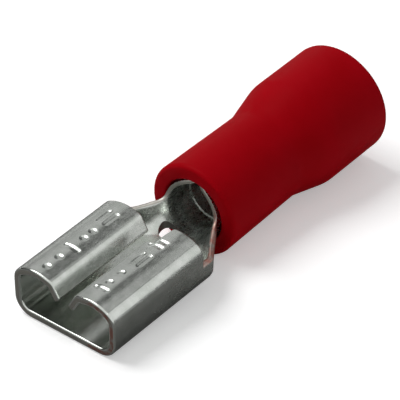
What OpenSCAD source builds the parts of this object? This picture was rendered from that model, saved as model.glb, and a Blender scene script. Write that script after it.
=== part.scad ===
// Insulated female spade terminal, 4.8 x 0.8 mm tab series.
//
// One stamped and folded strip of tin-plated brass makes the receptacle, the neck
// and the wire barrel. One moulded sleeve grips the barrel and flares out behind it
// so that the insulation of the wire slips in.
//
// Millimetres. The origin is on the underside of the receptacle's floor, in the
// middle of its mouth. -Y is the way the tab comes in, +Y is the way the wire comes
// in, and +Z is the side on which the wings meet.

/* [Sheet] */
// Thickness of the stamped strip
sheet_t = 0.38; // [0.30:0.01:0.42]

/* [Receptacle] */
// Overall width across the two side walls
recep_w = 6.1; // [5.8:0.05:6.6]
// Height of the crowns of the wings over the underside
recep_h = 2.95; // [2.8:0.05:3.2]
// Length of the wings from the mouth to their rear edge
wing_len = 6.5; // [5.8:0.1:6.8]
// Radius outside the two bends between floor and walls
floor_bend_r = 0.95; // [0.7:0.05:1.1]
// Radius outside the two rolled shoulders
roll_r = 0.82; // [0.7:0.02:0.9]
// Radius outside the shallow crown of a wing
crown_r = 1.95; // [1.6:0.05:2.4]
// Distance from the middle plane to the top of a crown
crown_x = 1.65; // [1.5:0.05:1.8]
// Radius outside the ridge where a wing turns down to its lip
ridge_r = 0.42; // [0.42:0.01:0.5]
// Slope of the lip of a wing, from the horizontal, in degrees
lip_slope = 60; // [50:1:70]
// Gap between the two lips
lip_gap = 0.5; // [0.4:0.05:0.7]
// Radius that rounds the rear corner of the right wing's lip, seen from above
lip_corner_r = 1.1; // [0.6:0.05:1.2]

/* [Neck] */
// Distance from the mouth to the place where the side walls start to close in
neck_y0 = 7.2; // [7.0:0.1:7.4]
// Height of the cut side edges of the neck over the underside
neck_edge_z = 1.5; // [1.3:0.05:1.7]
// Length of the round-ended window across the neck, from side to side
window_l = 2.4; // [1.8:0.1:2.6]
// Width of the window, along the terminal
window_w = 1.1; // [0.8:0.1:1.2]
// Distance from the mouth to the middle of the window
window_y = 8.55; // [8.4:0.05:8.7]

/* [Wire barrel] */
// Distance from the mouth to the front of the closed part of the barrel
barrel_y0 = 9.6; // [9.5:0.05:9.8]
// Distance from the mouth to the rear end of the barrel
barrel_y1 = 14.2; // [13.5:0.1:14.8]
// Diameter of the barrel's bore
barrel_bore_d = 2.64; // [2.4:0.02:2.7]
// Height of the barrel's axis over the underside of the floor
barrel_z = 1.5; // [1.45:0.01:1.6]
// Width of the seam where the rolled edges meet
seam_w = 0.14; // [0.08:0.02:0.2]
// Number of grip grooves pressed inside the barrel
groove_n = 3; // [1:1:4]
// Width of one grip groove
groove_w = 0.3; // [0.2:0.05:0.4]
// Depth of one grip groove
groove_d = 0.1; // [0.05:0.01:0.15]

/* [Sleeve] */
// Distance from the mouth to the front face of the sleeve
sleeve_y0 = 9.41; // [9.35:0.01:9.5]
// Overall length of the sleeve
sleeve_len = 11.83; // [11.0:0.01:12.5]
// Length of the narrow part
sleeve_front_len = 5.57; // [5.4:0.01:6.0]
// Length of the cone between the narrow and the wide part
sleeve_cone_len = 2.22; // [1.8:0.02:2.6]
// Outer diameter at the front face
sleeve_front_d = 5.0; // [4.8:0.05:5.2]
// Outer diameter where the narrow part ends
sleeve_waist_d = 4.81; // [4.6:0.01:5.0]
// Outer diameter of the wide part
sleeve_rear_d = 5.9; // [5.7:0.05:6.2]
// Inner diameter of the wide part, where the wire's insulation goes in
entry_d = 4.4; // [4.0:0.05:4.6]
// Clearance between the barrel and the bore that grips it
grip_gap = 0.02; // [0.01:0.01:0.05]
// Radius of the rounded rims
rim_r = 0.22; // [0.1:0.02:0.3]

/* [Hidden] */
$fn = 64;

metal = [0.78, 0.79, 0.76];
vinyl = [0.62, 0.03, 0.06];

half_w = recep_w / 2;
barrel_r = barrel_bore_d / 2;
barrel_ro = barrel_r + sheet_t;

// Normal directions, in degrees, at the joins of the wing's arcs.
crown_a0 = 60;
crown_a1 = 104;
lip_a = 90 + lip_slope;

// Length of the straight run between crown and ridge.
ridge_run = 0.3;

// How far the end of one shape reaches into the next shape, how much thinner it is
// there on each side, and how much thinner where it comes out.
lap = 0.12;
lap_thin = 0.03;
lap_step = 0.002;

// ---- profiles ------------------------------------------------------------------

// A point of a sheet profile is [x, z, direction of the outer normal].
function unit(a) = [cos(a), sin(a)];
function pt(p, a) = [p[0], p[1], a];
function arc(c, r, a0, a1, n) =
    [for (i = [0:n]) let (a = a0 + (a1 - a0) * i / n) pt(c + r * unit(a), a)];

// The profile seen at a depth of d under its outside.
function at_depth(path, d) = [for (p = path) [p[0], p[1]] - d * unit(p[2])];
function mirrored(path) =
    [for (i = [len(path) - 1:-1:0]) [-path[i][0], path[i][1], 180 - path[i][2]]];

// Both halves of a profile, from the left end to the right end.
function whole(path) = concat(mirrored(path), [for (i = [1:len(path) - 1]) path[i]]);

// A closed outline of the strip whose outside is path.
function strip(path, d0, d1) = let (b = at_depth(path, d1))
    concat(at_depth(path, d0), [for (i = [len(b) - 1:-1:0]) b[i]]);

// ---- receptacle ----------------------------------------------------------------

bend_c = [half_w - floor_bend_r, floor_bend_r];
crown_c = [crown_x, recep_h - crown_r];
crown_p0 = crown_c + crown_r * unit(crown_a0);
roll_c = [half_w - roll_r, crown_p0[1] - roll_r * sin(crown_a0)];
crown_p1 = crown_c + crown_r * unit(crown_a1);
ridge_p0 = crown_p1 + ridge_run * unit(crown_a1 + 90);
ridge_c = ridge_p0 - ridge_r * unit(crown_a1);
ridge_p1 = ridge_c + ridge_r * unit(lip_a);
lip_len = (ridge_p1[0] - lip_gap / 2) / cos(lip_slope);
lip_p = ridge_p1 + lip_len * unit(lip_a + 90);

wing_path = concat(
    [pt([0, 0], -90)],
    arc(bend_c, floor_bend_r, -90, 0, 9),
    arc(roll_c, roll_r, 0, crown_a0, 6),
    arc(crown_c, crown_r, crown_a0 + 4, crown_a1, 10),
    arc(ridge_c, ridge_r, crown_a1, lip_a, 5),
    [pt(lip_p, lip_a)]
);

// Where the rounding of the lip's rear corner ends, just outside the ridge.
lip_corner_x = lip_gap / 2 + lip_corner_r;

// Lays an XZ profile along Y, from y0 to y1.
module along_y(y0, y1) {
    translate([0, y1, 0]) rotate([90, 0, 0]) linear_extrude(height = y1 - y0) children();
}

// What is cut off the rear corner of the lip on the +X side, seen from above.
module lip_corner() {
    difference() {
        translate([0, wing_len - lip_corner_r]) square([lip_corner_x, lip_corner_r + 1]);
        translate([lip_corner_x, wing_len - lip_corner_r]) circle(r = lip_corner_r);
    }
}

module receptacle() {
    difference() {
        along_y(0, wing_len) polygon(strip(whole(wing_path), 0, sheet_t));
        translate([0, 0, neck_edge_z]) linear_extrude(height = recep_h) lip_corner();
    }
}

// ---- neck ----------------------------------------------------------------------

// The neck is a trough that goes from the square-cornered floor of the receptacle,
// through a middle section whose walls lean out, to the round barrel. Each of its
// sections is a blend of the three, point by point.
neck_steps = [6.9, 7.2, 7.4, 7.6, 7.8, 8.0, 8.15, 8.3, 8.45, 8.6, 8.75, 8.9, 9.0, 9.1, 9.2, 9.3];
flap_steps = [9.38, 9.44, 9.52];

// How far the blend has come at each distance from the mouth.
closing = [[neck_y0, 0], [7.4, 0.09], [7.6, 0.18], [7.8, 0.28], [8.0, 0.38], [8.45, 0.595],
    [9.0, 0.86], [9.1, 0.91], [9.2, 0.96], [9.3, 0.99], [9.38, 1]];

// Half the angle that the round section covers, past the level of the barrel's axis.
// It grows slowly along the neck and fast where the flaps close round the wire.
flap_rise = [[7.2, 3], [8.6, 7], [8.9, 11], [9.0, 14], [9.1, 20], [9.2, 31], [9.3, 47],
    [9.38, 63], [9.44, 74], [9.6, 82], [10.2, 87]];

half_n = 18;

// The square section, at the share u of its length from the middle to the edge.
flat_l = half_w - floor_bend_r;
bend_l = floor_bend_r * PI / 2;
wall_l = neck_edge_z - floor_bend_r;
function square_at(u) = bent(u * (flat_l + bend_l + wall_l), flat_l, floor_bend_r, 90, 0);

// The middle section: a narrower floor, wide bends and walls that lean out.
mid_flat = 0.6;
mid_r = 1.15 + sheet_t;
mid_turn = 70;
mid_z = -0.08;
mid_wall = 0.21 + sheet_t;
mid_l = mid_flat + mid_r * mid_turn * PI / 180 + mid_wall;
function middle_at(u) = bent(u * mid_l, mid_flat, mid_r, mid_turn, mid_z);

// The point at the distance s along a floor, a bend through turn degrees and a wall.
function bent(s, floor_l, r, turn, z) =
    let (a = min(turn, max(0, (s - floor_l) / r * 180 / PI)))
    let (e = max(0, s - floor_l - r * turn * PI / 180))
    [min(s, floor_l) + r * sin(a) + e * cos(turn), z + r * (1 - cos(a)) + e * sin(turn), a - 90];

// The round section at the share u of its length.
function round_at(u, y) = let (a = -90 + u * (90 + lookup(y, flap_rise)))
    pt([0, barrel_z] + barrel_ro * unit(a), a);

// The blend passes through the middle section where closing is mid_t.
mid_t = 0.595;
function neck_path(y) = let (
    t = lookup(y, closing),
    k0 = (t - mid_t) * (t - 1) / mid_t,
    k1 = t * (1 - t) / (mid_t * (1 - mid_t)),
    k2 = t * (t - mid_t) / (1 - mid_t))
    [for (i = [0:half_n]) let (u = i / half_n)
        k0 * square_at(u) + k1 * middle_at(u) + k2 * round_at(u, y)];

function neck_loop(y, thin) = [for (p = strip(whole(neck_path(y)), thin, sheet_t - thin)) [p[0], y, p[1]]];

module neck() {
    front = wing_len - lap;
    loops = concat(
        [neck_loop(front, lap_thin), neck_loop(wing_len, lap_step)],
        [for (y = neck_steps) neck_loop(y, 0)],
        [for (y = flap_steps) neck_loop(y, 0)],
        [neck_loop(barrel_y0, lap_step), neck_loop(barrel_y0 + lap, lap_thin)]
    );
    m = len(loops[0]);
    k = m / 2;
    last = (len(loops) - 1) * m;
    polyhedron(
        points = [for (l = loops) for (p = l) p],
        faces = concat(
            [for (j = [0:len(loops) - 2]) for (i = [0:m - 1]) for (s = [0, 1])
                let (a = j * m + i, b = j * m + (i + 1) % m)
                s == 0 ? [a, b, a + m] : [b, b + m, a + m]],
            [for (i = [0:k - 2]) for (s = [0, 1])
                s == 0 ? [i, m - 1 - i, i + 1] : [i + 1, m - 1 - i, m - 2 - i]],
            [for (i = [0:k - 2]) for (s = [0, 1])
                s == 0 ? [last + i, last + i + 1, last + m - 1 - i]
                : [last + i + 1, last + m - 2 - i, last + m - 1 - i]]
        ),
        convexity = 8
    );
}

// ---- wire barrel ---------------------------------------------------------------

// Turns an RY profile about the barrel's axis.
module about_axis() {
    translate([0, 0, barrel_z]) rotate([-90, 0, 0]) rotate_extrude($fn = 96) children();
}

// The gap between the rolled edges, seen from above. It widens towards the neck.
seam_mouth = 0.44;
seam_taper = 0.6;
module seam() {
    for (side = [0, 1]) mirror([side, 0, 0]) polygon([
        [0, barrel_y0 - 1], [seam_mouth / 2, barrel_y0 - 1], [seam_mouth / 2, barrel_y0],
        [seam_w / 2, barrel_y0 + seam_taper], [seam_w / 2, barrel_y1 + 1], [0, barrel_y1 + 1]
    ]);
}

module barrel() {
    pitch = (barrel_y1 - barrel_y0) / (groove_n + 1);
    difference() {
        about_axis() translate([barrel_r, barrel_y0]) square([sheet_t, barrel_y1 - barrel_y0]);
        about_axis() for (i = [1:groove_n])
            translate([barrel_r / 2, barrel_y0 + i * pitch - groove_w / 2])
                square([barrel_r / 2 + groove_d, groove_w]);
        translate([0, 0, barrel_z]) linear_extrude(height = barrel_ro + 1) seam();
    }
}

// The window across the neck, seen from above.
module window() {
    half = (window_l - window_w) / 2;
    translate([-half, -window_w / 2]) square([2 * half, window_w]);
    for (side = [-1, 1]) translate([side * half, 0]) circle(d = window_w);
}

module terminal() {
    color(metal) difference() {
        union() {
            receptacle();
            neck();
            barrel();
        }
        translate([0, window_y, -1]) linear_extrude(height = 1 + neck_edge_z) window();
    }
}

// ---- sleeve --------------------------------------------------------------------

sleeve_y1 = sleeve_y0 + sleeve_front_len;
sleeve_y2 = sleeve_y1 + sleeve_cone_len;
sleeve_y3 = sleeve_y0 + sleeve_len;
grip_r = barrel_ro + grip_gap;

// The chamfer round the front end of the grip bore: its length and its width.
lead_l = 0.15;
lead_w = 0.06;
// How far the cone of the entry reaches behind the cone of the outside.
entry_lag = 0.6;

// A quarter of a rounded rim about c, as RY points.
function rim(c, a0, n) = [for (i = [0:n]) c + rim_r * unit(a0 + 90 * i / n)];

module insulating_sleeve() {
    color(vinyl) about_axis() polygon(concat(
        [[grip_r, sleeve_y0 + lead_l], [grip_r + lead_w, sleeve_y0]],
        rim([sleeve_front_d / 2 - rim_r, sleeve_y0 + rim_r], -90, 5),
        [[sleeve_waist_d / 2, sleeve_y1], [sleeve_rear_d / 2, sleeve_y2]],
        rim([sleeve_rear_d / 2 - rim_r, sleeve_y3 - rim_r], 0, 5),
        rim([entry_d / 2 + rim_r, sleeve_y3 - rim_r], 90, 5),
        [[entry_d / 2, sleeve_y2 + entry_lag], [grip_r, sleeve_y1]]
    ));
}

terminal();
insulating_sleeve();
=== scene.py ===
"""An insulated female spade terminal on a pale table: meshes, finishes, camera and light."""

import logging
import math
from dataclasses import dataclass, field
from enum import Enum

import bpy
import numpy as np
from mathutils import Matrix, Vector


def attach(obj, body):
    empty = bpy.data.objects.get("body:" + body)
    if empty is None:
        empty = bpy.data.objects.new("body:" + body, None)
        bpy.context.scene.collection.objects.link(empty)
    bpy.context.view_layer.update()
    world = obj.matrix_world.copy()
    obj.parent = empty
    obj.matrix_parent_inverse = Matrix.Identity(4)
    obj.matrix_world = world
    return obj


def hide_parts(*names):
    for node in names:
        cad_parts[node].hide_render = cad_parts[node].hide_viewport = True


LOG = logging.getLogger("spade_terminal")
MM = 0.001

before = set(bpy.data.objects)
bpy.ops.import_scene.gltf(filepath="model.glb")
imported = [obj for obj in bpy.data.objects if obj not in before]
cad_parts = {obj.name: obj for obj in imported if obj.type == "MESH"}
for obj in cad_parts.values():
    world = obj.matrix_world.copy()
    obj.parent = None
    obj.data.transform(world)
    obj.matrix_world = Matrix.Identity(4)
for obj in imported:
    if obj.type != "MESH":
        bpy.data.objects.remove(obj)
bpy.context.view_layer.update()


class Face(Enum):
    """What a face of the folded strip is, as its material slot."""

    PLATED = 0
    CUT = 1


# ---- meshes --------------------------------------------------------------------------


def smooth(t: np.ndarray) -> np.ndarray:
    """Eases from 0 to 1 while t goes from 0 to 1."""
    t = np.clip(t, 0.0, 1.0)
    return t * t * (3.0 - 2.0 * t)


def eased(x: np.ndarray, table: np.ndarray, width: float) -> np.ndarray:
    """Reads a table of x and value, averaged over a moving width so that it has no corner.

    Args:
        x: Where it is read.
        table: Rows of x and value.
        width: How far the average reaches.

    Returns:
        The values.
    """
    low, high = table[0, 0] - width, table[-1, 0] + width
    fine = np.linspace(low - width, high + width, 4000)
    kernel = np.hanning(int(width / (fine[1] - fine[0])) | 1)
    even = np.convolve(np.interp(fine, *table.T), kernel / kernel.sum(), "same")
    return np.interp(np.clip(x, low, high), fine, even)


def tube_faces(rows: int, cols: int) -> np.ndarray:
    """Lists the quads of a grid whose columns close into a ring.

    Args:
        rows: How many rings there are.
        cols: How many points a ring has.

    Returns:
        One row of four point numbers for each quad.
    """
    j, i = np.meshgrid(np.arange(rows - 1), np.arange(cols), indexing="ij")
    a, b = j * cols + i, j * cols + (i + 1) % cols
    return np.stack([a, b, b + cols, a + cols], -1).reshape(-1, 4)


def strip_caps(cols: int, last: int) -> tuple[np.ndarray, np.ndarray]:
    """Lists the quads that close both ends of a folded strip's tube.

    Point k of a ring faces point cols - 1 - k across the sheet.

    Args:
        cols: How many points a ring has, an even number.
        last: The number of the last ring's first point.

    Returns:
        The quads of the first end and of the last end.
    """
    k = np.arange(cols // 2 - 1)
    first = np.stack([k, cols - 1 - k, cols - 2 - k, k + 1], -1)
    return first, first[:, ::-1] + last


def make_object(name: str, points: np.ndarray, faces: list, slots: np.ndarray,
                finishes: list[bpy.types.Material]) -> bpy.types.Object:
    """Makes a smooth-shaded object.

    Args:
        name: The object's name.
        points: Corner positions in millimetres, one row each.
        faces: Point numbers of each face.
        slots: Material slot of each face.
        finishes: Materials, in the order of the slots.

    Returns:
        The object, linked into the scene.
    """
    mesh = bpy.data.meshes.new(name)
    mesh.from_pydata(points * MM, [], faces)
    for mat in finishes:
        mesh.materials.append(mat)
    mesh.polygons.foreach_set("material_index", np.asarray(slots, np.int32))
    mesh.polygons.foreach_set("use_smooth", np.ones(len(mesh.polygons), bool))
    mesh.update()
    obj = bpy.data.objects.new(name, mesh)
    bpy.context.scene.collection.objects.link(obj)
    return obj


def combine(target: bpy.types.Object, other: bpy.types.Object, operation: str) -> None:
    """Joins a closed piece to another or cuts it out, and deletes the other.

    Args:
        target: The piece that is kept.
        other: The piece that is joined or cut out.
        operation: UNION or DIFFERENCE.
    """
    mod = target.modifiers.new("combine", "BOOLEAN")
    mod.operation, mod.object, mod.solver = operation, other, "MANIFOLD"
    deps = bpy.context.evaluated_depsgraph_get()
    mesh = bpy.data.meshes.new_from_object(target.evaluated_get(deps))
    target.modifiers.clear()
    old, target.data = target.data, mesh
    mesh.name = target.name
    bpy.data.meshes.remove(old)
    bpy.data.objects.remove(other)


def shade_by_angle(obj: bpy.types.Object, degrees: float) -> None:
    """Shades smooth, with an edge wherever two faces meet at more than an angle.

    Args:
        obj: The piece.
        degrees: The least angle that stays an edge.
    """
    obj.data.polygons.foreach_set("use_smooth", np.ones(len(obj.data.polygons), bool))
    obj.data.set_sharp_from_angle(angle=math.radians(degrees))


# ---- finishes ------------------------------------------------------------------------


def new_material(name: str) -> tuple[bpy.types.Material, bpy.types.NodeTree]:
    """Makes an empty node material.

    Args:
        name: The material's name.

    Returns:
        The material and its node tree, cleared.
    """
    mat = bpy.data.materials.new(name)
    mat.use_nodes = True
    mat.node_tree.nodes.clear()
    return mat, mat.node_tree


def ramp(tree: bpy.types.NodeTree, source: bpy.types.NodeSocket,
         stops: list[tuple[float, tuple[float, float, float]]]) -> bpy.types.NodeSocket:
    """Turns a value into a colour.

    Args:
        tree: The node tree.
        source: The value.
        stops: Positions and their linear colours.

    Returns:
        The colour.
    """
    node = tree.nodes.new("ShaderNodeValToRGB")
    while len(node.color_ramp.elements) < len(stops):
        node.color_ramp.elements.new(0.5)
    for element, (place, rgb) in zip(node.color_ramp.elements, stops):
        element.position, element.color = place, (*rgb, 1.0)
    tree.links.new(source, node.inputs[0])
    return node.outputs[0]


def span(tree: bpy.types.NodeTree, source: bpy.types.NodeSocket, low: float, high: float,
         lo: float = 0.3, hi: float = 0.7) -> bpy.types.NodeSocket:
    """Spreads a noise value over a range.

    Args:
        tree: The node tree.
        source: The value.
        low: What the low end becomes.
        high: What the high end becomes.
        lo: The value at the low end.
        hi: The value at the high end.

    Returns:
        The spread value.
    """
    node = tree.nodes.new("ShaderNodeMapRange")
    for key, value in (("From Min", lo), ("From Max", hi), ("To Min", low), ("To Max", high)):
        node.inputs[key].default_value = value
    tree.links.new(source, node.inputs["Value"])
    return node.outputs[0]


def noise(tree: bpy.types.NodeTree, where: bpy.types.NodeSocket, per_metre: float,
          detail: float = 3.0, roughness: float = 0.55) -> bpy.types.NodeSocket:
    """Adds noise of one scale.

    Args:
        tree: The node tree.
        where: The position.
        per_metre: How many blots fit in a metre.
        detail: Octaves.
        roughness: How strong the fine octaves are.

    Returns:
        The noise value.
    """
    node = tree.nodes.new("ShaderNodeTexNoise")
    node.inputs["Scale"].default_value = per_metre
    node.inputs["Detail"].default_value = detail
    node.inputs["Roughness"].default_value = roughness
    tree.links.new(where, node.inputs["Vector"])
    return node.outputs[0]


def stretched(tree: bpy.types.NodeTree, where: bpy.types.NodeSocket,
              scale: tuple[float, float, float]) -> bpy.types.NodeSocket:
    """Scales a position along each axis.

    Args:
        tree: The node tree.
        where: The position.
        scale: Factors along X, Y and Z.

    Returns:
        The scaled position.
    """
    node = tree.nodes.new("ShaderNodeMapping")
    node.inputs["Scale"].default_value = scale
    tree.links.new(where, node.inputs["Vector"])
    return node.outputs[0]


def rolled_grain() -> bpy.types.NodeTree:
    """Builds the group for the marks of rolling and plating, once.

    Returns:
        A node group from a position to streaks, specks, clouds and a height.
    """
    found = bpy.data.node_groups.get("rolled_grain")
    if found:
        return found
    tree = bpy.data.node_groups.new("rolled_grain", "ShaderNodeTree")
    tree.interface.new_socket("Position", in_out="INPUT", socket_type="NodeSocketVector")
    for name in ("Streaks", "Specks", "Clouds", "Height"):
        tree.interface.new_socket(name, in_out="OUTPUT", socket_type="NodeSocketFloat")
    inp, out = tree.nodes.new("NodeGroupInput"), tree.nodes.new("NodeGroupOutput")
    where = inp.outputs[0]
    streaks = noise(tree, stretched(tree, where, (1.0, 0.35, 1.0)), 7000.0, 3.0)
    specks = noise(tree, where, 14000.0, 2.0)
    clouds = noise(tree, where, 1300.0, 4.0, 0.6)
    both = tree.nodes.new("ShaderNodeMath")
    both.operation = "ADD"
    tree.links.new(streaks, both.inputs[0])
    tree.links.new(specks, both.inputs[1])
    for i, socket in enumerate((streaks, specks, clouds, both.outputs[0])):
        tree.links.new(socket, out.inputs[i])
    return tree


@dataclass(frozen=True)
class TinPlate:
    """Dull bright tin plate with rolling streaks, small pits and handling marks."""

    dark: tuple[float, float, float] = (0.50, 0.53, 0.49)
    pale: tuple[float, float, float] = (0.62, 0.64, 0.61)
    smoothest: float = 0.17
    dullest: float = 0.27
    frosted: tuple[float, float] = (2.5 * MM, 6.2 * MM)
    frost: float = 0.09
    relief: float = 0.0009

    def material(self) -> bpy.types.Material:
        """Builds the material.

        Returns:
            The tin plate material.
        """
        mat, tree = new_material("tin_plate")
        out = tree.nodes.new("ShaderNodeOutputMaterial")
        bsdf = tree.nodes.new("ShaderNodeBsdfPrincipled")
        coord = tree.nodes.new("ShaderNodeTexCoord")
        grain = tree.nodes.new("ShaderNodeGroup")
        grain.node_tree = rolled_grain()
        tree.links.new(coord.outputs["Object"], grain.inputs[0])
        colour = ramp(tree, grain.outputs["Clouds"],
                      [(0.32, self.dark), (0.68, self.pale)])
        tree.links.new(colour, bsdf.inputs["Base Color"])
        bsdf.inputs["Metallic"].default_value = 1.0
        place = tree.nodes.new("ShaderNodeSeparateXYZ")
        tree.links.new(coord.outputs["Object"], place.inputs[0])
        frost = tree.nodes.new("ShaderNodeMath")
        frost.operation = "MULTIPLY_ADD"
        tree.links.new(span(tree, place.outputs[1], 0.0, 1.0, *self.frosted), frost.inputs[0])
        tree.links.new(span(tree, grain.outputs["Specks"], 0.02, self.frost), frost.inputs[1])
        tree.links.new(span(tree, grain.outputs["Streaks"], self.smoothest, self.dullest),
                       frost.inputs[2])
        tree.links.new(frost.outputs[0], bsdf.inputs["Roughness"])
        bump = tree.nodes.new("ShaderNodeBump")
        bump.inputs["Distance"].default_value = self.relief * MM
        bump.inputs["Strength"].default_value = 1.0
        tree.links.new(grain.outputs["Height"], bump.inputs["Height"])
        tree.links.new(bump.outputs[0], bsdf.inputs["Normal"])
        tree.links.new(bsdf.outputs[0], out.inputs[0])
        return mat


@dataclass(frozen=True)
class ShearedBrass:
    """The brass that shows on sheared edges, with the plating smeared over it in places."""

    brass: tuple[float, float, float] = (0.34, 0.18, 0.15)
    smear: tuple[float, float, float] = (0.40, 0.385, 0.35)
    relief: float = 0.006

    def material(self) -> bpy.types.Material:
        """Builds the material.

        Returns:
            The sheared edge's material.
        """
        mat, tree = new_material("sheared_brass")
        out = tree.nodes.new("ShaderNodeOutputMaterial")
        bsdf = tree.nodes.new("ShaderNodeBsdfPrincipled")
        coord = tree.nodes.new("ShaderNodeTexCoord")
        patches = noise(tree, coord.outputs["Object"], 2600.0, 3.0)
        mixed = tree.nodes.new("ShaderNodeMix")
        mixed.data_type = "RGBA"
        place = tree.nodes.new("ShaderNodeSeparateXYZ")
        tree.links.new(coord.outputs["Object"], place.inputs[0])
        bare = span(tree, place.outputs[0], 1.0, 0.0, 1.2 * MM, 1.5 * MM)
        tree.links.new(bare, mixed.inputs["Factor"])
        mixed.inputs["B"].default_value = (*self.smear, 1.0)
        tree.links.new(mixed.outputs["Result"], bsdf.inputs["Base Color"])
        tree.links.new(ramp(tree, patches, [(0.42, self.brass), (0.62, self.smear)]),
                       mixed.inputs["A"])
        bsdf.inputs["Metallic"].default_value = 1.0
        tree.links.new(span(tree, patches, 0.55, 0.34), bsdf.inputs["Roughness"])
        tears = noise(tree, coord.outputs["Object"], 9000.0, 3.0)
        bump = tree.nodes.new("ShaderNodeBump")
        bump.inputs["Distance"].default_value = self.relief * MM
        tree.links.new(tears, bump.inputs["Height"])
        tree.links.new(bump.outputs[0], bsdf.inputs["Normal"])
        tree.links.new(bsdf.outputs[0], out.inputs[0])
        return mat


@dataclass(frozen=True)
class RedVinyl:
    """Moulded red vinyl with a soft sheen, faint flow clouds and fine pitting."""

    deep: tuple[float, float, float] = (0.335, 0.0006, 0.0040)
    bright: tuple[float, float, float] = (0.365, 0.0010, 0.0055)
    roughness: tuple[float, float] = (0.42, 0.50)
    relief: float = 0.004

    def material(self) -> bpy.types.Material:
        """Builds the material.

        Returns:
            The vinyl material.
        """
        mat, tree = new_material("red_vinyl")
        out = tree.nodes.new("ShaderNodeOutputMaterial")
        bsdf = tree.nodes.new("ShaderNodeBsdfPrincipled")
        coord = tree.nodes.new("ShaderNodeTexCoord")
        clouds = noise(tree, coord.outputs["Object"], 420.0, 4.0)
        tree.links.new(ramp(tree, clouds, [(0.35, self.deep), (0.65, self.bright)]),
                       bsdf.inputs["Base Color"])
        tree.links.new(span(tree, clouds, *self.roughness), bsdf.inputs["Roughness"])
        bsdf.inputs["Specular IOR Level"].default_value = 0.08
        bsdf.inputs["IOR"].default_value = 1.22
        pits = noise(tree, coord.outputs["Object"], 5200.0, 4.0, 0.6)
        bump = tree.nodes.new("ShaderNodeBump")
        bump.inputs["Distance"].default_value = self.relief * MM
        tree.links.new(pits, bump.inputs["Height"])
        tree.links.new(bump.outputs[0], bsdf.inputs["Normal"])
        tree.links.new(bsdf.outputs[0], out.inputs[0])
        return mat


# ---- the folded strip ------------------------------------------------------------------


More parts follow.
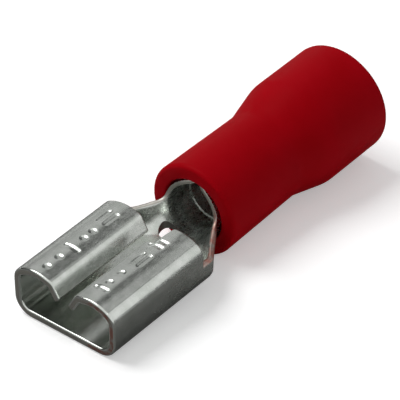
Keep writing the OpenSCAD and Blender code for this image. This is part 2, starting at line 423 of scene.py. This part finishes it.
@dataclass
class FoldedTerminal:
    """The stamped and folded strip: receptacle, neck and wire barrel, in millimetres.

    A profile is an array of rows x, z and the direction of the outer normal in radians.
    It runs along the outside of one half, from the middle of the floor to the free edge.
    """

    sheet: float = 0.38
    half_w: float = 3.05
    height: float = 2.95
    wing_len: float = 6.5
    floor_bend_r: float = 0.95
    roll_r: float = 0.82
    crown_r: float = 1.95
    crown_x: float = 1.65
    roll_end: float = 60.0
    crown_end: float = 104.0
    ridge_r: float = 0.42
    ridge_run: float = 0.3
    lip_slope: float = 60.0
    lip_gap: float = 0.5
    lip_end_y: float = 5.1
    lip_step_x: float = 1.22
    lip_step_run: float = 0.2
    edge_r: float = 0.09
    flap_r: float = 0.17
    flap_thinning: float = 0.10
    flap_thinning_inside: float = 0.07
    thinning_in: tuple[float, float] = (8.6, 9.3)
    thinning_out: tuple[float, float] = (9.5, 10.1)
    neck_edge_z: float = 1.5
    neck_y0: float = 7.2
    flare: tuple[float, float] = (9.0, 9.8)
    barrel_y0: float = 9.6
    barrel_y1: float = 14.2
    barrel_r: float = 1.32
    barrel_z: float = 1.5
    groove_n: int = 3
    groove_w: float = 0.3
    groove_d: float = 0.1
    mid_flat: float = 0.6
    mid_r: float = 1.53
    mid_turn: float = 70.0
    mid_wall: float = 0.59
    mid_z: float = -0.08
    mid_t: float = 0.595
    lap: float = 0.2
    lap_depth: float = 0.002
    half_columns: int = 49
    rows: int = 120
    window: tuple[float, float, float, float] = (-0.30, 8.55, 2.0, 1.1)
    punch_z: tuple[float, float] = (-0.8, 1.4)
    punch_sides: int = 96
    sharp_from: float = 32.0
    mark_depth: float = 0.045
    mark_zone: float = 0.45
    mark_half: float = 0.15
    mark_side: float = 0.10
    dot_r: float = 0.07
    closing_ease: float = 0.3
    rise_ease: float = 0.12
    closing: np.ndarray = field(default_factory=lambda: np.array(
        [[7.2, 0], [7.4, 0.09], [7.6, 0.18], [7.8, 0.28], [8.0, 0.38], [8.45, 0.595],
         [9.0, 0.86], [9.1, 0.91], [9.2, 0.955], [9.3, 0.985], [9.5, 1.0]]))
    rise: np.ndarray = field(default_factory=lambda: np.array(
        [[7.2, 3], [8.6, 7], [8.9, 9], [9.1, 11.5], [9.2, 14], [9.3, 20], [9.36, 30],
         [9.42, 50], [9.48, 66], [9.6, 80], [9.8, 85.5], [10.2, 87.2]]))

    # -- profiles --

    def arc(self, centre: np.ndarray | tuple[float, float], r: float, a0: float, a1: float,
            n: int) -> np.ndarray:
        """Lists profile rows along an arc, without its first point.

        Args:
            centre: Its centre.
            r: Its radius.
            a0: Where it starts, in degrees.
            a1: Where it ends.
            n: How many rows.

        Returns:
            The rows.
        """
        a = np.radians(np.linspace(a0, a1, n + 1)[1:])
        return np.stack([centre[0] + r * np.cos(a), centre[1] + r * np.sin(a), a], -1)

    def line(self, start: np.ndarray, end: np.ndarray | tuple[float, float],
             n: int) -> np.ndarray:
        """Lists profile rows along a straight run, without its first point.

        Args:
            start: The row before it, whose normal it keeps.
            end: Its last point.
            n: How many rows.

        Returns:
            The rows.
        """
        t = np.linspace(0, 1, n + 1)[1:, None]
        p = start[:2] + (np.asarray(end) - start[:2]) * t
        return np.concatenate([p, np.full((n, 1), start[2])], 1)

    def wing_profile(self) -> np.ndarray:
        """Draws half of the receptacle's section.

        Floor, bend, side wall, rolled shoulder, shallow crown, ridge and lip follow each
        other, each tangent to the one before.

        Returns:
            The profile's rows.
        """
        lip_a = 90 + self.lip_slope
        roll, crown, lip = (np.array([math.cos(math.radians(a)), math.sin(math.radians(a))])
                            for a in (self.roll_end, self.crown_end, lip_a))
        across = np.array([-1.0, 1.0])
        crown_c = (self.crown_x, self.height - self.crown_r)
        join = crown_c + self.crown_r * roll
        roll_c = (self.half_w - self.roll_r, join[1] - self.roll_r * roll[1])
        rows = [np.array([[0.0, 0.0, -math.pi / 2]])]
        rows.append(self.line(rows[-1][-1], (self.half_w - self.floor_bend_r, 0.0), 8))
        rows.append(self.arc((self.half_w - self.floor_bend_r, self.floor_bend_r),
                             self.floor_bend_r, -90, 0, 9))
        rows.append(self.line(rows[-1][-1], (self.half_w, roll_c[1]), 3))
        rows.append(self.arc(roll_c, self.roll_r, 0, self.roll_end, 9))
        rows.append(self.line(rows[-1][-1], join, 2))
        rows.append(self.arc(crown_c, self.crown_r, self.roll_end, self.crown_end, 34))
        way = crown[::-1] * across
        rows.append(self.line(rows[-1][-1], rows[-1][-1][:2] + way * self.ridge_run, 6))
        ridge_c = rows[-1][-1][:2] - self.ridge_r * crown
        rows.append(self.arc(ridge_c, self.ridge_r, self.crown_end, lip_a, 7))
        way = lip[::-1] * across
        run = (rows[-1][-1][0] - self.lip_gap / 2) / -way[0] - self.edge_r
        rows.append(self.line(rows[-1][-1], rows[-1][-1][:2] + way * run, 6))
        return np.concatenate(rows)

    def bent(self, s: np.ndarray, floor: float, r: float, turn: float,
             z: float) -> np.ndarray:
        """Finds rows along a floor, a bend and a straight wall.

        Args:
            s: Distances from the middle of the floor.
            floor: Half the floor's width.
            r: The bend's radius.
            turn: How far it turns, in radians.
            z: The floor's height.

        Returns:
            The rows.
        """
        a = np.clip((s - floor) / r, 0, turn)
        e = np.maximum(s - floor - r * turn, 0)
        return np.stack([np.minimum(s, floor) + r * np.sin(a) + e * math.cos(turn),
                         z + r * (1 - np.cos(a)) + e * math.sin(turn), a - math.pi / 2], -1)

    def neck_profile(self, u: np.ndarray, y: np.ndarray) -> np.ndarray:
        """Blends three sections of the neck: square, leaning and round.

        Each ends short of the sheet's edge by the radius that softens the edge.

        Args:
            u: Shares of the half section's length, one for each column.
            y: Distances from the mouth, one for each row.

        Returns:
            Rows of x, z and normal for each y and u.
        """
        t = eased(y, self.closing, self.closing_ease)[:, None, None]
        flat, wall = self.half_w - self.floor_bend_r, self.neck_edge_z - self.floor_bend_r
        square = flat + self.floor_bend_r * math.pi / 2 + wall - self.flap_r
        k0 = self.bent(u * square, flat, self.floor_bend_r, math.pi / 2, 0.0)
        turn = math.radians(self.mid_turn)
        leaning = self.mid_flat + self.mid_r * turn + self.mid_wall - self.flap_r
        k1 = self.bent(u * leaning, self.mid_flat, self.mid_r, turn, self.mid_z)
        up = np.radians(eased(y, self.rise, self.rise_ease))
        r = self.barrel_r + self.sheet
        a = -math.pi / 2 + u[None, :] * (math.pi / 2 + up[:, None] - self.flap_r / r)
        k2 = np.stack([r * np.cos(a), self.barrel_z + r * np.sin(a), a], -1)
        m = self.mid_t
        return ((t - m) * (t - 1) / m * k0 + t * (1 - t) / (m * (1 - m)) * k1
                + t * (t - m) / (1 - m) * k2)

    def rings(self, half: np.ndarray, over: np.ndarray, under: np.ndarray,
              round_r: float) -> np.ndarray:
        """Closes half profiles into rings round the sheet.

        A ring runs along the outside from the left edge to the right edge, round that
        edge, back along the inside and round the left edge.

        Args:
            half: Half profiles, as rows of x, z and normal for each ring.
            over: Depth of the outer face under the profile, for each ring and column.
            under: Depth of the inner face under the profile, as over.
            round_r: Radius that softens the strip's long edges.

        Returns:
            Points x, z for each ring.
        """
        left = half[:, ::-1] * np.array([-1, 1, -1]) + np.array([0, 0, math.pi])
        whole = np.concatenate([left, half[:, 1:]], 1)
        n = np.stack([np.cos(whole[..., 2]), np.sin(whole[..., 2])], -1)
        outer = whole[..., :2] - n * over[..., None]
        inner = whole[..., :2] - n * under[..., None]
        phi = np.radians([0, 25, 50, 75, 90])[None, :, None]
        r = np.minimum(round_r, (under - over)[..., -1:, None] / 2.2)
        sides = []
        for end, way in ((-1, 1.0), (0, -1.0)):
            nn = n[:, end, None]
            tt = np.stack([-nn[..., 1], nn[..., 0]], -1) * way
            top = outer[:, end, None] + tt * r * np.sin(phi) - nn * r * (1 - np.cos(phi))
            low = inner[:, end, None] + tt * r * np.sin(phi) + nn * r * (1 - np.cos(phi))
            sides.append((top[:, 1:], low[:, 1:]))
        return np.concatenate([
            sides[1][0][:, ::-1], outer, sides[0][0],
            sides[0][1][:, ::-1], inner[:, ::-1], sides[1][1]], 1)

    def ring_slots(self, columns: int) -> np.ndarray:
        """Lists the slot of each quad round a ring whose profile has so many columns."""
        cut = Face.CUT.value
        return np.concatenate([np.full(3, cut), np.zeros(columns + 1), np.full(7, cut),
                               np.zeros(columns + 1), np.full(4, cut)])

    def shell(self, name: str, y: np.ndarray, half: np.ndarray, over: np.ndarray,
              under: np.ndarray, round_r: float,
              finishes: list[bpy.types.Material]) -> bpy.types.Object:
        """Makes a closed piece of the strip from its half profiles.

        Args:
            name: The object's name.
            y: Distance from the mouth, for each ring, or for each ring and whole column.
            half: Half profiles for each ring.
            over: Depth of the outer face for each ring and whole column.
            under: Depth of the inner face, as over.
            round_r: Radius that softens the strip's long edges.
            finishes: Materials, in the order of Face.

        Returns:
            The object.
        """
        xz = self.rings(half, over, under, round_r)
        rows, cols = xz.shape[:2]
        if y.ndim == 1:
            yy = np.repeat(y[:, None], cols, 1)
        else:
            edge = 4
            yy = np.concatenate([
                np.repeat(y[:, :1], edge, 1), y, np.repeat(y[:, -1:], edge, 1),
                np.repeat(y[:, -1:], edge, 1), y[:, ::-1], np.repeat(y[:, :1], edge, 1)], 1)
        points = np.stack([xz[..., 0], yy, xz[..., 1]], -1).reshape(-1, 3)
        tube = tube_faces(rows, cols)
        first, last = strip_caps(cols, (rows - 1) * cols)
        whole = 2 * half.shape[1] - 1
        ring = self.ring_slots(whole)[:cols]
        slots = np.concatenate([np.tile(ring, rows - 1),
                                np.full(len(first) + len(last), Face.CUT.value)])
        faces = np.concatenate([tube, first, last])
        return make_object(name, points, faces[:, ::-1].tolist(), slots, finishes)

    # -- parts --

    def stamp(self, x: np.ndarray, y: np.ndarray) -> np.ndarray:
        """Finds how deep the plain stamped bars and dots go.

        A bar is all points near a segment and a dot all points near a point.

        Args:
            x: Distances from the middle plane.
            y: Distances from the mouth.

        Returns:
            Depths in millimetres.
        """
        near = np.full(x.shape, 9.0)
        bars = ((1.1, 5.35, 1.75, 5.35), (1.1, 4.95, 1.75, 4.95), (1.35, 3.35, 1.35, 4.15),
                (1.75, 3.35, 1.75, 4.15), (-1.9, 2.45, -1.2, 2.45), (-1.9, 4.75, -1.9, 5.55),
                (-1.45, 4.75, -1.45, 5.55), (1.1, 1.05, 1.75, 1.05))
        for x0, y0, x1, y1 in bars:
            dx, dy = x1 - x0, y1 - y0
            t = np.clip(((x - x0) * dx + (y - y0) * dy) / (dx * dx + dy * dy), 0, 1)
            near = np.minimum(near, np.hypot(x - x0 - t * dx, y - y0 - t * dy))
        for cx, cy in ((1.45, 1.6), (1.45, 2.45), (-1.55, 0.7), (-1.55, 1.55), (-1.55, 3.3),
                       (-1.55, 3.95)):
            near = np.minimum(near, np.hypot(x - cx, y - cy) - self.dot_r)
        return self.mark_depth * smooth((self.mark_half - near) / self.mark_side)

    def receptacle(self, finishes: list[bpy.types.Material]) -> bpy.types.Object:
        """Folds the receptacle, rounds its sheared ends and stamps the wings.

        The rows of the grid end at the wing's rear edge, which steps forward where the
        right wing's lip ends.

        Args:
            finishes: Materials, in the order of Face.

        Returns:
            The receptacle's object.
        """
        half = self.wing_profile()
        n = len(half)
        phi = np.radians([0, 20, 40, 60, 80, 90])
        ease = self.edge_r * (1 - np.sin(phi))
        y0 = self.edge_r * (1 - np.cos(phi))
        middle = np.linspace(self.edge_r, self.wing_len - self.edge_r, self.rows + 2)[1:-1]
        v = np.concatenate([y0, middle, self.wing_len - y0[::-1]])
        inset = np.concatenate([ease, np.zeros(self.rows), ease[::-1]])
        x = np.concatenate([-half[::-1, 0], half[1:, 0]])
        z = np.concatenate([half[::-1, 1], half[1:, 1]])
        on_lip = (x > 0) & (z > self.neck_edge_z)
        end = np.full(x.shape, self.wing_len)
        step = self.lip_end_y + (self.wing_len - self.lip_end_y) * smooth(
            (x - self.lip_step_x + 0.08) / self.lip_step_run)
        end[on_lip] = step[on_lip]
        y = v[:, None] * (end / self.wing_len)[None, :]
        rings = np.repeat(half[None], len(v), 0)
        over = np.repeat(inset[:, None], 2 * n - 1, 1)
        under = self.sheet - over
        top = (z > self.height - self.mark_zone)[None, :]
        over = over + np.where(top, self.stamp(x[None, :], y), 0.0)
        return self.shell("receptacle", y, rings, over, under, self.edge_r, finishes)

    def neck_and_barrel(self, finishes: list[bpy.types.Material]) -> bpy.types.Object:
        """Lofts the neck into the rolled barrel, with its grip grooves.

        Args:
            finishes: Materials, in the order of Face.

        Returns:
            The object, whose front end starts inside the receptacle's sheet.
        """
        flare_y0, flare_y1 = self.flare
        y = np.concatenate([
            [self.wing_len - self.lap, self.wing_len - 0.001, self.wing_len],
            np.linspace(self.wing_len, self.neck_y0, 8)[1:-1],
            np.linspace(self.neck_y0, flare_y0, 34)[:-1],
            np.linspace(flare_y0, flare_y1, 46)[:-1],
            np.linspace(flare_y1, self.barrel_y1 - self.edge_r, 90),
            self.barrel_y1 - self.edge_r * (1 - np.sin(np.radians([30, 60, 90])))])
        u = np.linspace(0, 1, self.half_columns)
        half = self.neck_profile(u, y)
        hidden = np.where(y < self.wing_len, self.lap_depth, 0.0)
        over = np.repeat(hidden[:, None], 2 * self.half_columns - 1, 1)
        tail = np.clip((y - (self.barrel_y1 - self.edge_r)) / self.edge_r, 0, 1)
        over = over + (self.edge_r * (1 - np.sqrt(1 - tail ** 2)))[:, None]
        under = self.sheet - over
        (in0, in1), (out0, out1) = self.thinning_in, self.thinning_out
        thin = (smooth((y - in0) / (in1 - in0)) * smooth((out1 - y) / (out1 - out0)))[:, None]
        over = over + self.flap_thinning * thin
        under = under - self.flap_thinning_inside * thin
        pitch = (self.barrel_y1 - self.barrel_y0) / (self.groove_n + 1)
        for k in range(1, self.groove_n + 1):
            far = abs(y - self.barrel_y0 - k * pitch) / (self.groove_w / 2)
            under = under - (self.groove_d * smooth((1.15 - far) / 0.5))[:, None]
        return self.shell("neck", y, half, over, under, self.flap_r, finishes)

    def window_punch(self, finishes: list[bpy.types.Material]) -> bpy.types.Object:
        """Makes the round-ended punch that cuts the window.

        Its outline is an oval whose x is stretched, with a steep step from one round end
        to the other.

        Args:
            finishes: Materials, in the order of Face.

        Returns:
            The punch, as a closed prism along Z.
        """
        cx, cy, length, width = self.window
        n = self.punch_sides
        t = np.linspace(0, 2 * math.pi, n, endpoint=False)
        shift = (length - width) / 2
        x = cx + shift * np.tanh(3 * np.cos(t)) + width / 2 * np.cos(t)
        y = cy + width / 2 * np.sin(t)
        rings = [np.stack([x, y, np.full_like(x, z)], -1) for z in self.punch_z]
        points = np.concatenate(rings)
        faces = tube_faces(2, n).tolist()
        faces += [list(range(n - 1, -1, -1)), list(range(n, 2 * n))]
        return make_object("punch", points, faces, np.full(len(faces), Face.CUT.value),
                           finishes)

    def build(self) -> bpy.types.Object:
        """Builds the whole terminal.

        Returns:
            The terminal, which replaces its plain solid.
        """
        finishes = [TinPlate().material(), ShearedBrass().material()]
        piece = self.receptacle(finishes)
        combine(piece, self.neck_and_barrel(finishes), "UNION")
        combine(piece, self.window_punch(finishes), "DIFFERENCE")
        piece.name = piece.data.name = "folded_terminal"
        shade_by_angle(piece, self.sharp_from)
        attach(piece, "root")
        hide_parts("terminal")
        return piece


# ---- the sleeve ------------------------------------------------------------------------


@dataclass
class MouldedSleeve:
    """The sleeve that grips the barrel and flares behind it, in millimetres."""

    y0: float = 9.41
    length: float = 11.83
    front_len: float = 5.57
    cone_len: float = 2.22
    front_r: float = 2.5
    waist_r: float = 2.405
    rear_r: float = 2.95
    entry_r: float = 2.2
    grip_r: float = 1.72
    rim_r: float = 0.22
    axis_z: float = 1.5
    entry_lag: float = 0.6
    corner_ease: float = 0.9
    mouth_r: float = 0.1
    throat: tuple[float, float] = (0.24, 1.41)
    flash_out: float = 0.05
    flash_at: float = 0.66
    flash_half: float = 0.11
    around: int = 160
    sharp_from: float = 40.0

    def profile(self) -> np.ndarray:
        """Draws the section as rows of radius and distance from the mouth.

        It runs round the outside from front to rear and back along the inside. The two
        corners of the cone are eased by averaging along the finely divided line.

        Returns:
            The closed section.
        """
        y1 = self.y0 + self.front_len
        y2, y3 = y1 + self.cone_len, self.y0 + self.length
        a = np.radians(np.linspace(-90, 0, 7))
        rim = self.rim_r * np.stack([np.cos(a), np.sin(a)], -1)
        front = rim + [self.front_r - self.rim_r, self.y0 + self.rim_r]
        y = np.linspace(self.y0 + self.rim_r, y3 - self.rim_r, 90)[1:-1]
        fine = np.linspace(y[0] - 1, y[-1] + 1, 4000)
        r = np.interp(fine, [self.y0, y1, y2, y3],
                      [self.front_r, self.waist_r, self.rear_r, self.rear_r])
        kernel = np.hanning(int(self.corner_ease / (fine[1] - fine[0])))
        even = np.convolve(r, kernel / kernel.sum(), "same")
        out = np.stack([np.interp(y, fine, even), y], -1)
        a = np.radians(np.linspace(0, 180, 13))
        rear = np.stack([np.cos(a), np.sin(a)], -1) * self.rim_r
        wall = (self.rear_r - self.entry_r) / 2
        rear = rear * [wall / self.rim_r, 1] + [self.rear_r - wall, y3 - self.rim_r]
        back = np.array([[self.entry_r, y3 - 1.2], [self.entry_r, y2 + self.entry_lag],
                         [self.grip_r + self.throat[0], y1 + self.throat[1]],
                         [self.grip_r, y1],
                         [self.grip_r, y1 - 2.5], [self.grip_r, self.y0 + 0.3]])
        a = np.radians(np.linspace(180, 270, 5))
        mouth = self.mouth_r * np.stack([np.cos(a), np.sin(a)], -1) + [
            self.grip_r + self.mouth_r, self.y0 + self.mouth_r]
        return np.concatenate([front, out, rear, back, mouth])

    def build(self) -> bpy.types.Object:
        """Turns the section about the barrel's axis and adds a nick of flash at the rim.

        The flash pushes the front rim forward where the turn is near one angle.

        Returns:
            The sleeve, which replaces its plain solid.
        """
        section = self.profile()
        t = np.linspace(0, 2 * math.pi, self.around, endpoint=False)[:, None]
        r, y = section[None, :, 0], section[None, :, 1]
        flash = (self.flash_out * smooth(1 - abs(t - self.flash_at) / self.flash_half)
                 * (1 + 0.6 * np.sin(47 * t)) * smooth(1 - abs(r - self.front_r + 0.1) / 0.12)
                 * (y < self.y0 + 0.2))
        points = np.stack([r * np.sin(t), y - flash, self.axis_z + r * np.cos(t)], -1)
        rows, cols = self.around, len(section)
        j, i = np.meshgrid(np.arange(rows), np.arange(cols), indexing="ij")
        k, h = (j + 1) % rows, (i + 1) % cols
        faces = np.stack([j * cols + i, j * cols + h, k * cols + h, k * cols + i],
                         -1).reshape(-1, 4)
        piece = make_object("moulded_sleeve", points.reshape(-1, 3), faces[:, ::-1].tolist(),
                            np.zeros(len(faces)), [RedVinyl().material()])
        shade_by_angle(piece, self.sharp_from)
        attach(piece, "root")
        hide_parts("insulating_sleeve")
        return piece


# ---- the studio ------------------------------------------------------------------------


@dataclass
class Studio:
    """Camera, table, backdrop and lamps, in millimetres."""

    target: tuple[float, float, float] = (-0.36, 10.42, 1.36)
    azimuth: float = 39.25
    elevation: float = 38.23
    roll: float = -0.66
    distance: float = 142.5
    lens: float = 266.517
    sensor: float = 36.0
    table_slope: float = -0.069
    table_half: float = 400.0
    table_drop: float = 0.02
    paper: tuple[float, float, float] = (0.93, 0.93, 0.93)
    # painted shade: the darker grey that the table shows in reflections only, in place of the
    # paper
    painted_gloss_shade: tuple[float, float, float] = (0.22, 0.22, 0.215)

    def towards(self, azimuth: float, elevation: float) -> Vector:
        """Finds the direction from the part to a place round it."""
        a, e = math.radians(azimuth), math.radians(elevation)
        return Vector((math.sin(a) * math.cos(e), -math.cos(a) * math.cos(e), math.sin(e)))

    def camera(self) -> bpy.types.Object:
        """Places the camera at the viewing angle.

        Returns:
            The camera object.
        """
        data = bpy.data.cameras.new("studio_camera")
        data.sensor_width, data.lens = self.sensor, self.lens
        data.clip_start, data.clip_end = 0.005, 5.0
        cam = bpy.data.objects.new("studio_camera", data)
        bpy.context.scene.collection.objects.link(cam)
        back = self.towards(self.azimuth, self.elevation)
        cam.location = (Vector(self.target) + back * self.distance) * MM
        cam.rotation_euler = (-back).to_track_quat("-Z", "Y").to_euler()
        cam.rotation_euler.rotate_axis("Z", math.radians(self.roll))
        bpy.context.scene.camera = cam
        return cam

    def table(self, glow: float) -> bpy.types.Object:
        """Makes the table as a plane through the two lines that the part rests on.

        Args:
            glow: White that the camera sees on top of the table's own light.

        Returns:
            The table object.
        """
        h, s = self.table_half, self.table_slope
        pts = [(-h, -h, -h * s), (h, -h, -h * s), (h, h, h * s), (-h, h, h * s)]
        mesh = bpy.data.meshes.new("table")
        mesh.from_pydata([tuple(c * MM for c in p) for p in pts], [], [(0, 1, 2, 3)])
        obj = bpy.data.objects.new("table", mesh)
        bpy.context.scene.collection.objects.link(obj)
        obj.location = (0, 0, -self.table_drop * MM)
        mat, tree = new_material("table_paper")
        out = tree.nodes.new("ShaderNodeOutputMaterial")
        paper = tree.nodes.new("ShaderNodeBsdfDiffuse")
        paper.inputs["Color"].default_value = (*self.paper, 1)
        light = tree.nodes.new("ShaderNodeEmission")
        path = tree.nodes.new("ShaderNodeLightPath")
        shown = tree.nodes.new("ShaderNodeMath")
        shown.operation = "MULTIPLY"
        shown.inputs[1].default_value = glow
        tree.links.new(path.outputs["Is Camera Ray"], shown.inputs[0])
        tree.links.new(shown.outputs[0], light.inputs["Strength"])
        # painted shade: gloss sees the table as this darker grey, not as the paper the camera
        # sees
        grey = tree.nodes.new("ShaderNodeBsdfDiffuse")
        grey.inputs["Color"].default_value = (*self.painted_gloss_shade, 1)
        seen = tree.nodes.new("ShaderNodeMixShader")
        tree.links.new(path.outputs["Is Glossy Ray"], seen.inputs[0])
        tree.links.new(paper.outputs[0], seen.inputs[1])
        tree.links.new(grey.outputs[0], seen.inputs[2])
        add = tree.nodes.new("ShaderNodeAddShader")
        tree.links.new(seen.outputs[0], add.inputs[0])
        tree.links.new(light.outputs[0], add.inputs[1])
        tree.links.new(add.outputs[0], out.inputs[0])
        mesh.materials.append(mat)
        return obj

    def lamp(self, name: str, azimuth: float, elevation: float, distance: float,
             size: tuple[float, float], level: float) -> bpy.types.Object:
        """Adds one soft box that faces the part.

        Args:
            name: The lamp's name.
            azimuth: Degrees, counted as the camera's.
            elevation: Degrees above the horizon.
            distance: Millimetres from the part's middle.
            size: Width and height in millimetres.
            level: Radiance of the face, where 1 is white.

        Returns:
            The lamp object.
        """
        data = bpy.data.lights.new(name, "AREA")
        data.shape = "RECTANGLE"
        data.size, data.size_y = size[0] * MM, size[1] * MM
        data.energy = level * math.pi * data.size * data.size_y
        obj = bpy.data.objects.new(name, data)
        bpy.context.scene.collection.objects.link(obj)
        back = self.towards(azimuth, elevation)
        obj.location = (Vector(self.target) + back * distance) * MM
        obj.rotation_euler = (-back).to_track_quat("-Z", "Y").to_euler()
        return obj

    def flag(self, name: str, azimuth: tuple[float, float], elevation: tuple[float, float],
             distance: float, level: float) -> bpy.types.Object:
        """Adds a curved card that only gloss shows: its glow is a painted reflection, bright
        or dark, that lights nothing and casts no shadow.

        Args:
            name: The card's name.
            azimuth: Where it starts and ends round the part, in degrees.
            elevation: Its lower and upper edge above the horizon, in degrees.
            distance: Millimetres from the part's middle.
            level: How bright the painted reflection looks, where 1 is white.

        Returns:
            The card.
        """
        wide, high = 25, 13
        az, el = np.meshgrid(np.radians(np.linspace(*azimuth, wide)),
                             np.radians(np.linspace(*elevation, high)), indexing="ij")
        points = np.stack([np.sin(az) * np.cos(el), -np.cos(az) * np.cos(el), np.sin(el)],
                          -1) * distance + np.array(self.target)
        j, i = np.meshgrid(np.arange(wide - 1), np.arange(high - 1), indexing="ij")
        a = j * high + i
        faces = np.stack([a, a + 1, a + high + 1, a + high], -1).reshape(-1, 4)
        mat, tree = new_material(name)
        out = tree.nodes.new("ShaderNodeOutputMaterial")
        card = tree.nodes.new("ShaderNodeEmission")
        card.inputs["Strength"].default_value = level
        tree.links.new(card.outputs[0], out.inputs[0])
        obj = make_object(name, points.reshape(-1, 3), faces.tolist(),
                          np.zeros(len(faces)), [mat])
        obj.visible_camera = obj.visible_diffuse = obj.visible_shadow = False
        obj.visible_transmission = False
        return obj

    def world(self, level: float) -> None:
        """Sets the surroundings: white to the camera and in gloss, plain grey for light.

        Args:
            level: The strength of the plain light.
        """
        world = bpy.data.worlds.new("studio")
        bpy.context.scene.world = world
        world.use_nodes = True
        tree = world.node_tree
        tree.nodes.clear()
        out = tree.nodes.new("ShaderNodeOutputWorld")
        path = tree.nodes.new("ShaderNodeLightPath")
        dim, white = (tree.nodes.new("ShaderNodeBackground") for _ in range(2))
        for node, strength in ((dim, level), (white, 1.0)):
            node.inputs["Color"].default_value = (1, 1, 1, 1)
            node.inputs["Strength"].default_value = strength
        last = path.outputs["Is Camera Ray"]
        for ray in ("Is Glossy Ray", "Is Transmission Ray"):
            either = tree.nodes.new("ShaderNodeMath")
            either.operation = "MAXIMUM"
            tree.links.new(last, either.inputs[0])
            tree.links.new(path.outputs[ray], either.inputs[1])
            last = either.outputs[0]
        mix = tree.nodes.new("ShaderNodeMixShader")
        tree.links.new(last, mix.inputs[0])
        tree.links.new(dim.outputs[0], mix.inputs[1])
        tree.links.new(white.outputs[0], mix.inputs[2])
        tree.links.new(mix.outputs[0], out.inputs[0])

    def build(self) -> None:
        """Sets up the whole studio."""
        bpy.context.scene.view_settings.view_transform = "Standard"
        self.camera()
        self.table(0.36)
        self.world(0.33)
        self.lamp("key", -80, 58, 260, (150, 150), 6.2)
        # painted reflections: glowing cards seen only in gloss, bright and dark bands for the
        # metal and the vinyl
        self.flag("rear_right_card", (148, 186), (6, 60), 700, 0.42)
        self.flag("rear_card", (186, 212), (6, 60), 700, 0.10)
        self.flag("rear_left_card", (212, 236), (6, 60), 700, 0.60)
        self.flag("left_rear_card", (236, 250), (2, 60), 700, 0.12)
        self.flag("left_card", (250, 325), (2, 50), 700, 0.05)
        self.flag("low_card", (105, 148), (-0.3, 5), 200, 0.03)


def main() -> None:
    """Builds the studio, the terminal and the sleeve."""
    logging.basicConfig(level=logging.INFO)
    Studio().build()
    for maker in (FoldedTerminal(), MouldedSleeve()):
        piece = maker.build()
        LOG.info("%s: %d faces", piece.name, len(piece.data.polygons))


if __name__ == "__main__":
    main()
